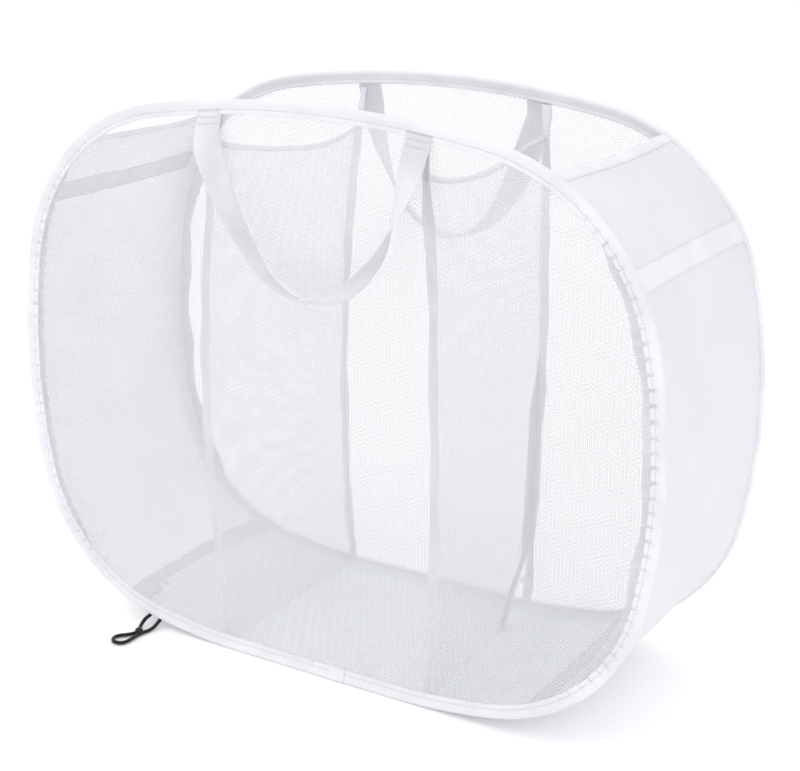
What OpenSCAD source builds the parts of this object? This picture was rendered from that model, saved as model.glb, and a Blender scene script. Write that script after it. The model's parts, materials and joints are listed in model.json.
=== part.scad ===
// Pop-up three-compartment mesh laundry hamper.
// Two rounded spring-steel hoops stand upright, one in front of the other. Mesh fills both hoops,
// a fabric strip between them makes the ends and the floor, and two mesh dividers part the inside.
// X runs along the width, Y from front to back, Z up. The origin is under the middle, on the ground.

/* [Hoops] */
// Width over the front binding
hoop_w = 720; // [600:10:900]
// Height over the front binding
hoop_h = 570; // [470:10:700]
// Distance between the planes of the two hoops
hoop_spacing = 238; // [190:2:300]
// Height of the widest point
widest_z = 274; // [240:2:320]
// Radius of the top stretch
top_r = 1080; // [900:10:1500]
// Radius of the side stretches
side_r = 605; // [500:5:800]
// Radius of the upper corners
upper_corner_r = 202; // [150:2:220]
// Radius of the lower corners
lower_corner_r = 186; // [150:2:200]
// Radius where the foot curves up to the lower corners
foot_r = 600; // [450:10:900]
// Half the length of the straight foot
foot_half = 90; // [60:5:120]

/* [Hoop wire] */
// Width of the flat spring wire, front to back
wire_w = 5; // [3:0.5:8]
// Thickness of the flat spring wire
wire_t = 1.2; // [0.8:0.1:2]
// Gap between the wire's two ends
wire_end_gap = 1; // [0.5:0.5:3]
// Length of the ferrule that joins the ends
ferrule_l = 36; // [20:2:60]
// Wall of the ferrule
ferrule_t = 0.5; // [0.3:0.1:1]
// Place of the joint along the foot
hoop_joint_x = 26; // [-40:1:40]

/* [Binding] */
// Height of the binding, across the hoop
binding_w = 14; // [12:0.5:18]
// Height of its channel for the wire
channel_w = 8; // [7:0.5:10]
// Thickness of the binding tape
tape_t = 0.7; // [0.5:0.1:1.2]
// Thickness of the two stitched lips with the mesh between them
lip_t = 3; // [2.4:0.2:3.6]
// Clearance round the wire and its ferrule
wire_gap = 0.3; // [0.2:0.1:0.6]
// Length of the lap where the binding's ends meet
lap_l = 20; // [10:1:34]
// Thickness of that lap
lap_t = 0.7; // [0.4:0.1:1]

/* [Mesh and panels] */
// Thickness of the mesh
mesh_t = 1; // [0.6:0.1:1.4]
// Thickness of the end and floor panels
panel_t = 0.8; // [0.6:0.1:1.2]
// How far the panels lie inside the hoops' outer edge
panel_inset = 3; // [2:0.25:4]
// How far below the hoops' top the left and the right end panels stop
panel_top_drop = [56, 36]; // [30:1:110]
// Where the end panels meet the floor panel, from the middle
floor_half = 235; // [200:5:260]
// Thickness of the doubled bands and hems
band_t = 0.9; // [0.6:0.1:1.2]
// How far below the hoops' top the middle of the upper bands lies
upper_band_drop = 119; // [90:1:170]
// Height of the upper bands
upper_band_h = 23; // [16:1:32]
// Length of the lower bands over the floor seam, along X
lower_band_l = 24; // [16:1:32]
// Height of the hems at the open top
top_hem_h = 7; // [5:1:18]
// Width of the turned-in seam edge inside the hoops
seam_w = 7; // [4:0.5:10]
// Height at which the seam edge starts
seam_bottom_z = 62; // [50:1:120]
// How far below the hoops' top the seam edge stops
seam_top_drop = 70; // [50:1:150]

/* [Dividers] */
// Distance of each divider from the middle
divider_x = 120; // [90:1:150]
// Thickness of the dividers
divider_t = 1; // [0.6:0.1:1.4]
// How far below the hoops' top the dividers stop
divider_top_drop = 50; // [44:2:150]
// Sag of their top edges
divider_sag = 17; // [5:1:40]
// Height of the bound edge
divider_hem_h = 6; // [5:1:14]
// Thickness of the bound edge on each side
divider_hem_t = 0.7; // [0.4:0.1:1.2]
// Width of the seam tapes up the dividers' edges
seam_tape_w = 9; // [6:1:14]
// Thickness of the seam tapes
seam_tape_t = 0.8; // [0.5:0.1:1.2]
// Open lower back corner of the right divider: along Y, and up
open_corner = [50, 66]; // [42:1:80]
// Height of the stay tape across that corner
stay_z = 46; // [25:1:50]
// Width of the stay tape
stay_w = 8; // [4:1:12]
// How far the stay tape laps the divider
stay_lap = 4; // [3:1:10]

/* [Handles] */
// Width of the handle webbing
strap_w = 27; // [20:1:40]
// Thickness of the handle webbing
strap_t = 1.6; // [1:0.1:2.4]
// Ends of the front handle, left and right of the middle
front_handle_x = [112, 116]; // [60:1:160]
// Ends of the back handle, left and right of the middle
back_handle_x = [87, 110]; // [60:1:160]
// How far the front handle hangs down
front_handle_drop = 157; // [110:1:200]
// How far the back handle hangs down
back_handle_drop = 152; // [110:1:200]
// Clearance between a handle and the binding
handle_gap = 1; // [0.6:0.1:2]
// Length of webbing that stays flat below the binding
handle_flat = 24; // [22:1:36]
// Length of webbing above its swing line
handle_tuck = 3; // [2:0.5:5]
// Height of one stitch row
stitch_h = 1.2; // [0.8:0.1:2]
// Raise of the stitch rows
stitch_t = 0.5; // [0.3:0.1:0.8]
// Distance between stitch rows
stitch_pitch = 5; // [3:0.5:8]
// Rows of stitching at each handle end
stitch_rows = 2; // [1:1:3]
// Length of a stitch row, as a share of the webbing's width
stitch_share = 0.8; // [0.5:0.05:0.9]

/* [Fold cord] */
// Diameter of the elastic cord
cord_d = 4; // [3:0.5:5]
// Diameter of its knot
knot_d = 9; // [7:0.5:12]

/* [Hidden] */
$fn = 48;
far = 2000;
// How far a curve's facets may lie inside it
facet_depth = 0.19;
sag_steps = 16;
// Clearance that keeps the facets of one curved piece out of the next
facet_gap = 0.3;

cavity_t = wire_t + 2 * (ferrule_t + wire_gap);
cavity_w = wire_w + 2 * (ferrule_t + wire_gap);
binding_t = cavity_w + 2 * tape_t;
wire_in = tape_t + wire_gap + ferrule_t;
hoop_y = hoop_spacing / 2;
inner_y = hoop_y - binding_t / 2;
outer_y = hoop_y + binding_t / 2;
mesh_face_y = hoop_y - mesh_t / 2;
tape_face_y = mesh_face_y - seam_tape_t;
floor_top = panel_inset + panel_t;
upper_band_z = hoop_h - upper_band_drop;
seam_top_z = hoop_h - seam_top_drop;
divider_top_z = hoop_h - divider_top_drop;

// Centres of the arcs that make the right half of the hoop outline
top_c = [0, hoop_h - top_r];
side_c = [hoop_w / 2 - side_r, widest_z];
foot_c = [foot_half, foot_r];
upper_c = inner_tangent(top_c, top_r, side_c, side_r, upper_corner_r);
lower_c = inner_tangent(foot_c, foot_r, side_c, side_r, lower_corner_r);

// Route of the elastic cord's loop, from one exit under the binding round to the other.
// Y is measured from the plane of the front hoop.
cord_start_x = -211;
cord_end_x = -198;
cord_down = 3;
cord_route = [
    cord_exit(cord_start_x, 0), cord_exit(cord_start_x, cord_down), [-212, -6, 8.5],
    [-213, -11, 5], [-211, -18, 2.5], [-207, -26, 2.5],
    [-208, -32, 2.5], [-212, -38, 2.5], [-217, -43, 2.5], [-219, -49, 2.5], [-216, -55, 2.5],
    [-210, -57, 2.5], [-204, -54, 2.5], [-202, -48, 2.5], [-202, -41, 2.5], [-202, -33, 2.5],
    [-201, -25, 2.5], [-199, -18, 2.5], [-198, -11, 3.5], [-198, -5, 5.5],
    cord_exit(cord_end_x, cord_down), cord_exit(cord_end_x, 0)
];
knot_at = [-204, -28, 5];
cord_sides = 8;
// A stretch of cord that rises more than this share of its length counts as steep
steep = 0.6;

// Centre of a circle of radius r that touches two larger circles from inside, on their right
function inner_tangent(c1, r1, c2, r2, r) =
    let (
        d = c2 - c1,
        l = norm(d),
        along = (l * l + pow(r1 - r, 2) - pow(r2 - r, 2)) / (2 * l),
        across = sqrt(pow(r1 - r, 2) - along * along),
        u = d / l,
        v = [-u[1], u[0]],
        a = c1 + u * along + v * across,
        b = c1 + u * along - v * across
    )
    a[0] > b[0] ? a : b;

function bearing(from, to) = atan2(to[1] - from[1], to[0] - from[0]);

// Points along an arc of radius r drawn in by inset, with the facets of the full radius
function arc(c, r, inset, a0, a1) =
    let (steps = ceil(abs(a1 - a0) / (2 * acos(1 - facet_depth / r))))
    [for (i = [0 : steps - 1]) let (a = a0 + (a1 - a0) * i / steps) c + (r - inset) * [cos(a), sin(a)]];

// Right half of the hoop outline, from the top middle down to the foot, drawn in by inset
function half_outline(inset) = concat(
    arc(top_c, top_r, inset, 90, bearing(top_c, upper_c)),
    arc(upper_c, upper_corner_r, inset, bearing(top_c, upper_c), bearing(side_c, upper_c)),
    arc(side_c, side_r, inset, bearing(side_c, upper_c), bearing(side_c, lower_c)),
    arc(lower_c, lower_corner_r, inset, bearing(side_c, lower_c), bearing(foot_c, lower_c)),
    arc(foot_c, foot_r, inset, bearing(foot_c, lower_c), -90),
    [[foot_half, inset]]
);

// The whole closed outline, clockwise, with its left half mirrored from its right
function outline(inset) =
    let (right = half_outline(inset), n = len(right))
    concat(right, [for (i = [n - 1 : -1 : 1]) [-right[i][0], right[i][1]]]);

// Height of the outline's top at a distance x from the middle
function top_z(x, inset = 0) = top_c[1] + sqrt(pow(top_r - inset, 2) - x * x);

// Height of the outline's foot at a distance x from the middle
function foot_z(x, inset = 0) =
    abs(x) <= foot_half ? inset : foot_r - sqrt(pow(foot_r - inset, 2) - pow(abs(x) - foot_half, 2));

// Where a handle's swing line lies: just under the binding at its ends
function handle_z(ends) = top_z(max(ends)) - binding_w;

handle_y = outer_y + handle_gap + strap_t / 2;

// Height of the open top edge of the left or the right end panel
function panel_top_z(sx) = hoop_h - panel_top_drop[sx > 0 ? 1 : 0];

// Where the cord passes the underside of the front binding, or a distance below it
function cord_exit(x, below) = [x, 0, foot_z(x, tape_t) + facet_gap - below];

// A drawing in X and Z, made solid between two places on Y
module slab(y0, y1) {
    translate([0, y1, 0])
        rotate([90, 0, 0])
            linear_extrude(y1 - y0)
                children();
}

// A drawing in Y and Z, made solid between two places on X
module wall(x0, x1) {
    translate([x0, 0, 0])
        rotate([90, 0, 90])
            linear_extrude(x1 - x0)
                children();
}

module ring(outer, inner) {
    difference() {
        polygon(outline(outer));
        polygon(outline(inner));
    }
}

// One side of the hoop frame: s is -1 at the front and 1 at the back
module hoop(s) {
    color("silver")
        difference() {
            slab(s * hoop_y - wire_w / 2, s * hoop_y + wire_w / 2)
                ring(wire_in, wire_in + wire_t);
            translate([hoop_joint_x - wire_end_gap / 2, s * hoop_y - wire_w, 0])
                cube([wire_end_gap, 2 * wire_w, 2 * wire_in]);
        }
}

module ferrule(s) {
    color("gray")
        translate([hoop_joint_x - ferrule_l / 2, s * hoop_y, wire_in + wire_t / 2])
            difference() {
                translate([0, -wire_w / 2 - ferrule_t, -wire_t / 2 - ferrule_t])
                    cube([ferrule_l, wire_w + 2 * ferrule_t, wire_t + 2 * ferrule_t]);
                translate([-1, -wire_w / 2, -wire_t / 2])
                    cube([ferrule_l + 2, wire_w, wire_t]);
            }
}

module binding(s) {
    color("white")
        difference() {
            union() {
                slab(s * hoop_y - binding_t / 2, s * hoop_y + binding_t / 2)
                    ring(0, channel_w);
                slab(s * hoop_y - lip_t / 2, s * hoop_y + lip_t / 2)
                    ring(channel_w / 2, binding_w);
            }
            slab(s * hoop_y - cavity_w / 2, s * hoop_y + cavity_w / 2)
                ring(tape_t, tape_t + cavity_t);
            slab(s * hoop_y - mesh_t / 2, s * hoop_y + mesh_t / 2)
                ring(tape_t + cavity_t / 2, binding_w + 1);
        }
}

// Lap of the binding tape over its own start, on the outer face
module binding_joint(s) {
    foot = tape_t;
    color("gainsboro")
        translate([hoop_joint_x - lap_l / 2, s * hoop_y, 0])
            wall(0, lap_l)
                polygon([
                    [s * binding_t / 2, foot],
                    [s * (binding_t / 2 + lap_t), foot],
                    [s * (binding_t / 2 + lap_t), channel_w + lap_t],
                    [s * (lip_t / 2 + lap_t), channel_w + lap_t],
                    [s * (lip_t / 2 + lap_t), binding_w],
                    [s * lip_t / 2, binding_w],
                    [s * lip_t / 2, channel_w],
                    [s * binding_t / 2, channel_w]
                ]);
}

module mesh_face(s) {
    color("whitesmoke")
        slab(s * hoop_y - mesh_t / 2, s * hoop_y + mesh_t / 2)
            polygon(outline(tape_t + cavity_t + wire_gap));
}

// Turned-in seam edge: sx is -1 at the left and 1 at the right
module seam_edge(s, sx) {
    y0 = s > 0 ? tape_face_y : -mesh_face_y;
    color("lavender")
        slab(y0, y0 + seam_tape_t)
            intersection() {
                ring(binding_w, binding_w + seam_w);
                translate([sx > 0 ? divider_x + seam_tape_w : -far - divider_x - seam_tape_w, seam_bottom_z])
                    square([far, seam_top_z - seam_bottom_z]);
            }
}

// A strip that follows the hoops between their inner faces, kept where x and z lie in a box
module strip(outer, inner, x0, x1, z0, z1) {
    slab(-inner_y, inner_y)
        intersection() {
            ring(outer, inner);
            translate([x0, z0])
                square([x1 - x0, z1 - z0]);
        }
}

module end_panel(sx) {
    color("ghostwhite")
        strip(panel_inset, panel_inset + panel_t,
            sx > 0 ? floor_half : -far, sx > 0 ? far : -floor_half, -1, panel_top_z(sx));
}

module floor_panel() {
    color("lavender")
        strip(panel_inset, panel_inset + panel_t, -floor_half, floor_half, -1, widest_z);
}

module top_hem(sx) {
    color("white")
        strip(panel_inset + panel_t, panel_inset + panel_t + band_t,
            sx > 0 ? 0 : -far, sx > 0 ? far : 0, panel_top_z(sx) - top_hem_h, panel_top_z(sx));
}

module upper_band(sx) {
    color("gainsboro")
        strip(panel_inset - band_t, panel_inset,
            sx > 0 ? 0 : -far, sx > 0 ? far : 0, upper_band_z - upper_band_h / 2, upper_band_z + upper_band_h / 2);
}

module lower_band(sx) {
    middle = sx * floor_half;
    color("gainsboro")
        strip(panel_inset - band_t, panel_inset,
            middle - lower_band_l / 2, middle + lower_band_l / 2, -1, widest_z);
}

divider_foot = foot_z(divider_x + divider_t / 2, floor_top) + facet_gap;
binding_clear = foot_z(divider_x + seam_tape_w / 2, binding_w) + facet_gap;

// Height of the dividers' sagging top edge at a place y
function divider_edge(y) = divider_top_z - divider_sag * (1 - pow(y / tape_face_y, 2));

function edge_points(lift) = [
    for (i = [0 : sag_steps])
        let (y = -tape_face_y + 2 * tape_face_y * i / sag_steps)
        [y, divider_edge(y) + lift]
];

module divider(sx, open = [0, 0]) {
    middle = sx * divider_x;
    color("whitesmoke")
        wall(middle - divider_t / 2, middle + divider_t / 2)
            difference() {
                polygon(concat(
                    [[tape_face_y, binding_clear], [inner_y, binding_clear], [inner_y, divider_foot]],
                    [[-inner_y, divider_foot], [-inner_y, binding_clear], [-tape_face_y, binding_clear]],
                    edge_points(0)
                ));
                if (open[0] > 0)
                    polygon([
                        [tape_face_y - open[0], divider_foot - 1],
                        [tape_face_y + 1, divider_foot - 1],
                        [tape_face_y + 1, divider_foot + open[1]]
                    ]);
            }
}

module divider_hem(sx) {
    middle = sx * divider_x;
    half_t = divider_t / 2 + divider_hem_t;
    color("white")
        difference() {
            wall(middle - half_t, middle + half_t)
                polygon(concat(
                    edge_points(divider_hem_t),
                    [for (i = [sag_steps : -1 : 0]) edge_points(-divider_hem_h)[i]]
                ));
            wall(middle - divider_t / 2, middle + divider_t / 2)
                polygon(concat([[tape_face_y + 1, divider_top_z], [tape_face_y + 1, 0]],
                    [[-tape_face_y - 1, 0], [-tape_face_y - 1, divider_top_z]], edge_points(0)));
        }
}

// Seam tape up the edge of a divider, against the mesh
module divider_tape(s, sx) {
    middle = sx * divider_x;
    edge = abs(middle) + seam_tape_w / 2;
    top = top_z(edge, binding_w) - facet_gap;
    y0 = s > 0 ? tape_face_y : -mesh_face_y;
    color("lightsteelblue")
        slab(y0, y0 + seam_tape_t)
            translate([middle - seam_tape_w / 2, binding_clear])
                square([seam_tape_w, top - binding_clear]);
}

module corner_stay() {
    lap_y = tape_face_y - open_corner[0] * (1 - (stay_z - divider_foot) / open_corner[1]) - stay_lap;
    x0 = divider_x + divider_t / 2;
    color("lightsteelblue")
        translate([x0, lap_y, stay_z - stay_w / 2])
            cube([seam_tape_t, tape_face_y - lap_y, stay_w]);
}

function ease(t) = let (c = min(1, max(0, t))) c * c * (3 - 2 * c);

// One handle's webbing: flat against the hoop at both ends, turned on edge at its lowest point
module handle(s, ends, drop, steps = 48) {
    middle = (ends[1] - ends[0]) / 2;
    half = (ends[0] + ends[1]) / 2;
    z0 = handle_z(ends);
    flat_angle = asin(handle_flat / drop);
    function turn(a) =
        a <= 90 ? 90 * ease((a - flat_angle) / (90 - flat_angle)) : 180 - turn(180 - a);
    function centre(a) =
        [middle - half * cos(a), s * (handle_y + strap_w / 2 * sin(turn(a))), z0 - drop * sin(a)];
    function across(a) = [-cos(turn(a)), s * sin(turn(a)), 0];
    function along(a) = [half * sin(a), 0, -drop * cos(a)];
    function face(a) = let (n = cross(along(a), across(a))) n / norm(n);
    function section(p, a) =
        let (w = across(a) * strap_w / 2, f = face(a) * strap_t / 2) [p - w - f, p + w - f, p + w + f, p - w + f];
    angles = [for (i = [0 : steps]) 180 * i / steps];
    tuck = [0, 0, handle_tuck];
    rings = concat(
        [section(centre(0) + tuck, 0)],
        [for (a = angles) section(centre(a), a)],
        [section(centre(180) + tuck, 180)]
    );
    color("white")
        swept(rings);
}

// A closed tube through a list of rings of points
module swept(rings) {
    n = len(rings);
    m = len(rings[0]);
    points = [for (r = rings) for (p = r) p];
    sides = [
        for (i = [0 : n - 2]) for (j = [0 : m - 1])
            let (a = i * m + j, b = i * m + (j + 1) % m)
            each [[a, b, b + m], [a, b + m, a + m]]
    ];
    caps = [
        for (j = [1 : m - 2])
            each [[0, j + 1, j], [(n - 1) * m, (n - 1) * m + j, (n - 1) * m + j + 1]]
    ];
    polyhedron(points = points, faces = concat(sides, caps), convexity = 6);
}

// Rows of stitches across the flat ends of a handle
module handle_stitching(s, ends) {
    z0 = handle_z(ends);
    y0 = s > 0 ? handle_y + strap_t / 2 : -handle_y - strap_t / 2 - stitch_t;
    color("gainsboro")
        for (x = [-ends[0], ends[1]])
            for (i = [1 : stitch_rows])
                translate([x - strap_w * stitch_share / 2, y0, z0 - i * stitch_pitch])
                    cube([strap_w * stitch_share, stitch_t, stitch_h]);
}

function unit(v) = v / norm(v);

// Rings of points round each place on the cord's route
function cord_ring(i) =
    let (
        n = len(cord_route),
        t = unit(cord_route[min(i + 1, n - 1)] - cord_route[max(i - 1, 0)]),
        side = unit(cross(t, abs(t[2]) > steep ? [1, 0, 0] : [0, 0, 1])),
        up = unit(cross(side, t)),
        flip = abs(t[2]) > steep ? 90 : 0
    )
    [for (j = [0 : cord_sides - 1]) let (a = 360 * j / cord_sides + flip)
        cord_route[i] + cord_d / 2 * (cos(a) * side + sin(a) * up)];

module fold_cord() {
    color("black")
        translate([0, -hoop_y, 0])
            swept([for (i = [0 : len(cord_route) - 1]) cord_ring(i)]);
}

module fold_cord_knot() {
    color("black")
        translate(knot_at - [0, hoop_y, 0])
            sphere(d = knot_d);
}

hoop(-1);  // front_hoop
ferrule(-1);  // front_hoop_ferrule
binding(-1);  // front_binding
binding_joint(-1);  // front_binding_joint
mesh_face(-1);  // front_mesh
seam_edge(-1, -1);  // front_left_seam_edge
seam_edge(-1, 1);  // front_right_seam_edge
end_panel(-1);  // left_end_panel
end_panel(1);  // right_end_panel
floor_panel();
top_hem(-1);  // left_top_hem
top_hem(1);  // right_top_hem
upper_band(-1);  // left_upper_band
upper_band(1);  // right_upper_band
lower_band(-1);  // left_lower_band
lower_band(1);  // right_lower_band
divider(-1);  // left_divider
divider(1, open_corner);  // right_divider
divider_hem(-1);  // left_divider_hem
divider_hem(1);  // right_divider_hem
divider_tape(-1, -1);  // left_divider_front_tape
divider_tape(-1, 1);  // right_divider_front_tape
hoop(1);  // back_hoop
ferrule(1);  // back_hoop_ferrule
binding(1);  // back_binding
binding_joint(1);  // back_binding_joint
mesh_face(1);  // back_mesh
seam_edge(1, -1);  // back_left_seam_edge
seam_edge(1, 1);  // back_right_seam_edge
divider_tape(1, -1);  // left_divider_back_tape
divider_tape(1, 1);  // right_divider_back_tape
corner_stay();  // right_divider_corner_stay
handle(-1, front_handle_x, front_handle_drop);  // front_handle
handle_stitching(-1, front_handle_x);  // front_handle_stitching
handle(1, back_handle_x, back_handle_drop);  // back_handle
handle_stitching(1, back_handle_x);  // back_handle_stitching
fold_cord();
fold_cord_knot();
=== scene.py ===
"""Pop-up three-compartment mesh laundry hamper: sewn and woven pieces over its fixed frame."""

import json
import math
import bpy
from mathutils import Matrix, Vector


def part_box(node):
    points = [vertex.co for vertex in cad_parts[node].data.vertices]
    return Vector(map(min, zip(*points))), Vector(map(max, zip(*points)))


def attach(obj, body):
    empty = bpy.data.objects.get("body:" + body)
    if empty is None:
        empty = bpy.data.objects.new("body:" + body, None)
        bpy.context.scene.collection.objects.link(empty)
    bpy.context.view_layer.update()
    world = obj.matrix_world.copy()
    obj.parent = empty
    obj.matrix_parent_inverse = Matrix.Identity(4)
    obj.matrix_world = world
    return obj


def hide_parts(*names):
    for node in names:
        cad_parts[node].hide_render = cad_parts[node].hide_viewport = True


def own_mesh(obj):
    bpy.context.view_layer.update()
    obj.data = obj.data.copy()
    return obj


bl_info = {
    "name": "Pop-up Laundry Hamper",
    "version": (1, 0, 0),
    "blender": (4, 5, 0),
    "location": "View3D > Sidebar > Hamper",
    "description": "Sews the nets, panels, bindings, handles and cord of a pop-up laundry hamper",
    "category": "Add Mesh",
}

import bpy
from bpy.props import FloatProperty, FloatVectorProperty, PointerProperty
from bpy.types import Operator, Panel, PropertyGroup
from mathutils import Matrix, Vector, noise

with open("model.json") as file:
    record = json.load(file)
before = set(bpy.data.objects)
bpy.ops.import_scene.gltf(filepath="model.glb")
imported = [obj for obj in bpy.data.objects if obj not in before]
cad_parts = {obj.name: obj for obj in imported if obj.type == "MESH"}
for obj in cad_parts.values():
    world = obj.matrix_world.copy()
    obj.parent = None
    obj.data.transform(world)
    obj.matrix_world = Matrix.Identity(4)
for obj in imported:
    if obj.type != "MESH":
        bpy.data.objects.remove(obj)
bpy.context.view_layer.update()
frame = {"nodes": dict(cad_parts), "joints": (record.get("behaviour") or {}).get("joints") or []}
HOOP_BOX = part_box("front_binding")
HANDLE_AXES = {
    j["child"]: Vector(j["pos_m"]) for j in frame["joints"] if j["type"] == "hinge"
}
CLOTH_MAP = "Cloth"
MM = 0.001


def length_size(name, description, default):
    return FloatProperty(
        name=name, description=description, default=default, unit="LENGTH", precision=5
    )


def cloth_colour(name, description, default):
    return FloatVectorProperty(
        name=name, description=description, default=default, size=3, subtype="COLOR", min=0, max=1
    )


# ---------------------------------------------------------------- sizes and colours


class HamperHoopSizes(PropertyGroup):
    """Outline of the two spring hoops"""

    width: length_size("Width", "Width over the binding", HOOP_BOX[1].x - HOOP_BOX[0].x)
    height: length_size("Height", "Height over the binding", HOOP_BOX[1].z)
    plane: length_size(
        "Hoop Plane", "Distance of each hoop from the middle", -(HOOP_BOX[0].y + HOOP_BOX[1].y) / 2
    )
    widest: length_size("Widest Height", "Height of the widest point", 0.274)
    top_radius: length_size("Top Radius", "Radius of the top stretch", 1.080)
    side_radius: length_size("Side Radius", "Radius of the side stretches", 0.605)
    upper_radius: length_size("Upper Corner Radius", "Radius of the upper corners", 0.202)
    lower_radius: length_size("Lower Corner Radius", "Radius of the lower corners", 0.186)
    foot_radius: length_size("Foot Radius", "Radius where the foot curves up", 0.600)
    foot_half: length_size("Half Foot", "Half the length of the straight foot", 0.090)


class HamperClothSizes(PropertyGroup):
    """Sizes of the cloth, tapes and seams"""

    binding_width: length_size("Binding Width", "Height of the binding across the hoop", 0.014)
    gather_pitch: length_size("Gather Pitch", "Distance between gathers in the binding", 0.0138)
    stitch_pitch: length_size("Stitch Pitch", "Distance between stitches", 0.0036)
    thread: length_size("Thread Radius", "Radius of the sewing thread", 0.00038)
    panel_inset: length_size("Panel Inset", "Depth of the panels inside the hoops", 0.0034)
    panel_reach: length_size("Panel Reach", "How far the panels run from the middle", 0.1162)
    left_top: length_size("Left Top", "Height of the left end panel's open edge", 0.514)
    right_top: length_size("Right Top", "Height of the right end panel's open edge", 0.534)
    floor_half: length_size("Half Floor", "Half the length of the floor panel", 0.235)
    upper_band_height: length_size("Upper Band Height", "Middle of the upper band", 0.451)
    upper_band_width: length_size("Upper Band Width", "Width of the upper band", 0.023)
    lower_band_width: length_size("Lower Band Width", "Width of the lower band", 0.024)
    top_hem: length_size("Top Hem", "Width of the hem at the open top", 0.0115)
    seam_edge: length_size("Seam Edge", "Width of the turned-in seam edge", 0.007)
    divider_place: length_size("Divider Place", "Distance of the dividers from the middle", 0.120)
    divider_reach: length_size("Divider Reach", "How far the dividers run from the middle", 0.1176)
    divider_top: length_size("Divider Top", "Height of the dividers at the hoops", 0.520)
    divider_sag: length_size("Divider Sag", "Sag of the dividers' top edges", 0.017)
    divider_hem: length_size("Divider Hem", "Width of the bound top edge", 0.0055)
    corner_run: length_size("Corner Run", "Open lower corner of the right divider, along", 0.050)
    corner_rise: length_size("Corner Rise", "Open lower corner of the right divider, up", 0.066)
    seam_tape: length_size("Seam Tape", "Width of the tapes up the dividers", 0.010)
    webbing_width: length_size("Webbing Width", "Width of the handle webbing", 0.027)
    webbing_thickness: length_size("Webbing Thickness", "Thickness of the webbing", 0.0016)
    cord: length_size("Cord Diameter", "Diameter of the elastic fold cord", 0.004)


class HamperColours(PropertyGroup):
    """Colours of the cloth, tapes and cord"""

    binding: cloth_colour("Binding", "Binding tape", (0.87, 0.87, 0.905))
    net: cloth_colour("Net", "Mesh net", (0.88, 0.88, 0.90))
    right_panel: cloth_colour("Right Panel", "Right end panel", (0.79, 0.795, 0.825))
    # The left panel is the same cloth as the right one, painted lighter: painted light for the
    # light that passes through the cloth
    left_panel: cloth_colour("Left Panel", "Left end panel", (0.97, 0.97, 0.985))
    # The dividers are the same net as the faces, painted darker: painted shade for the light lost
    # inside the hamper
    divider: cloth_colour("Divider Net", "Divider net", (0.83, 0.83, 0.85))
    floor: cloth_colour("Floor Cloth", "Floor panel", (0.83, 0.835, 0.90))
    hem: cloth_colour("Hems", "Doubled bands and hems", (0.86, 0.865, 0.89))
    # Inner faces of the doubled bands: a darker copy of the hem colour, painted shade where the
    # doubled cloth blocks the light
    lining: cloth_colour("Lining", "Inner side of the bands and hems", (0.70, 0.705, 0.75))
    turned: cloth_colour("Turned Edge", "Turned-in edges of the nets", (0.74, 0.74, 0.79))
    tape: cloth_colour("Seam Tapes", "Tapes and seam edges", (0.84, 0.84, 0.88))
    webbing: cloth_colour("Webbing", "Handle webbing", (0.82, 0.825, 0.86))
    thread: cloth_colour("Thread", "Sewing thread", (0.70, 0.70, 0.76))
    elastic: cloth_colour("Elastic", "Fold cord", (0.010, 0.010, 0.011))
    steel: cloth_colour("Steel", "Hoop wire and ferrules", (0.55, 0.56, 0.58))


class HamperStageSettings(PropertyGroup):
    """Camera, lamps and ground"""

    azimuth: FloatProperty(
        name="Azimuth", description="Camera's turn round the hamper",
        default=math.radians(31.236), subtype="ANGLE",
    )
    elevation: FloatProperty(
        name="Elevation", description="Camera's height above the horizon",
        default=math.radians(18.392), subtype="ANGLE",
    )
    roll: FloatProperty(
        name="Roll", description="Camera's roll", default=math.radians(0.352), subtype="ANGLE"
    )
    distance: length_size("Distance", "Camera's distance from its target", 1.6749)
    target: FloatVectorProperty(
        name="Target", description="Point the camera looks at", default=(0.0248, 0.0, 0.275),
        size=3, subtype="XYZ", unit="LENGTH",
    )
    lens: FloatProperty(
        name="Lens", description="Focal length", default=75.36, subtype="DISTANCE_CAMERA"
    )
    ground: cloth_colour("Ground", "Colour of the ground", (0.97, 0.97, 0.97))
    sky: FloatProperty(name="Sky", description="Strength of the light overhead", default=1.20)
    horizon: FloatProperty(
        name="Horizon", description="Strength of the light from the sides", default=0.77
    )
    key: FloatProperty(name="Key", description="Power of the key lamp in watts", default=6.0)
    fill: FloatProperty(name="Fill", description="Power of the fill lamp in watts", default=4.5)


# ---------------------------------------------------------------- hoop outline


def inner_tangent(c1, r1, c2, r2, r):
    """Centre of a circle of radius r inside two larger circles, touching both on their right."""
    d = c2 - c1
    along = (d.length_squared + (r1 - r) ** 2 - (r2 - r) ** 2) / (2 * d.length)
    across = math.sqrt((r1 - r) ** 2 - along**2)
    u = d.normalized()
    v = Vector((-u.y, u.x))
    return max((c1 + u * along + v * across, c1 + u * along - v * across), key=lambda c: c.x)


def bearing(a, b):
    return math.atan2(b.y - a.y, b.x - a.x)


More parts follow.
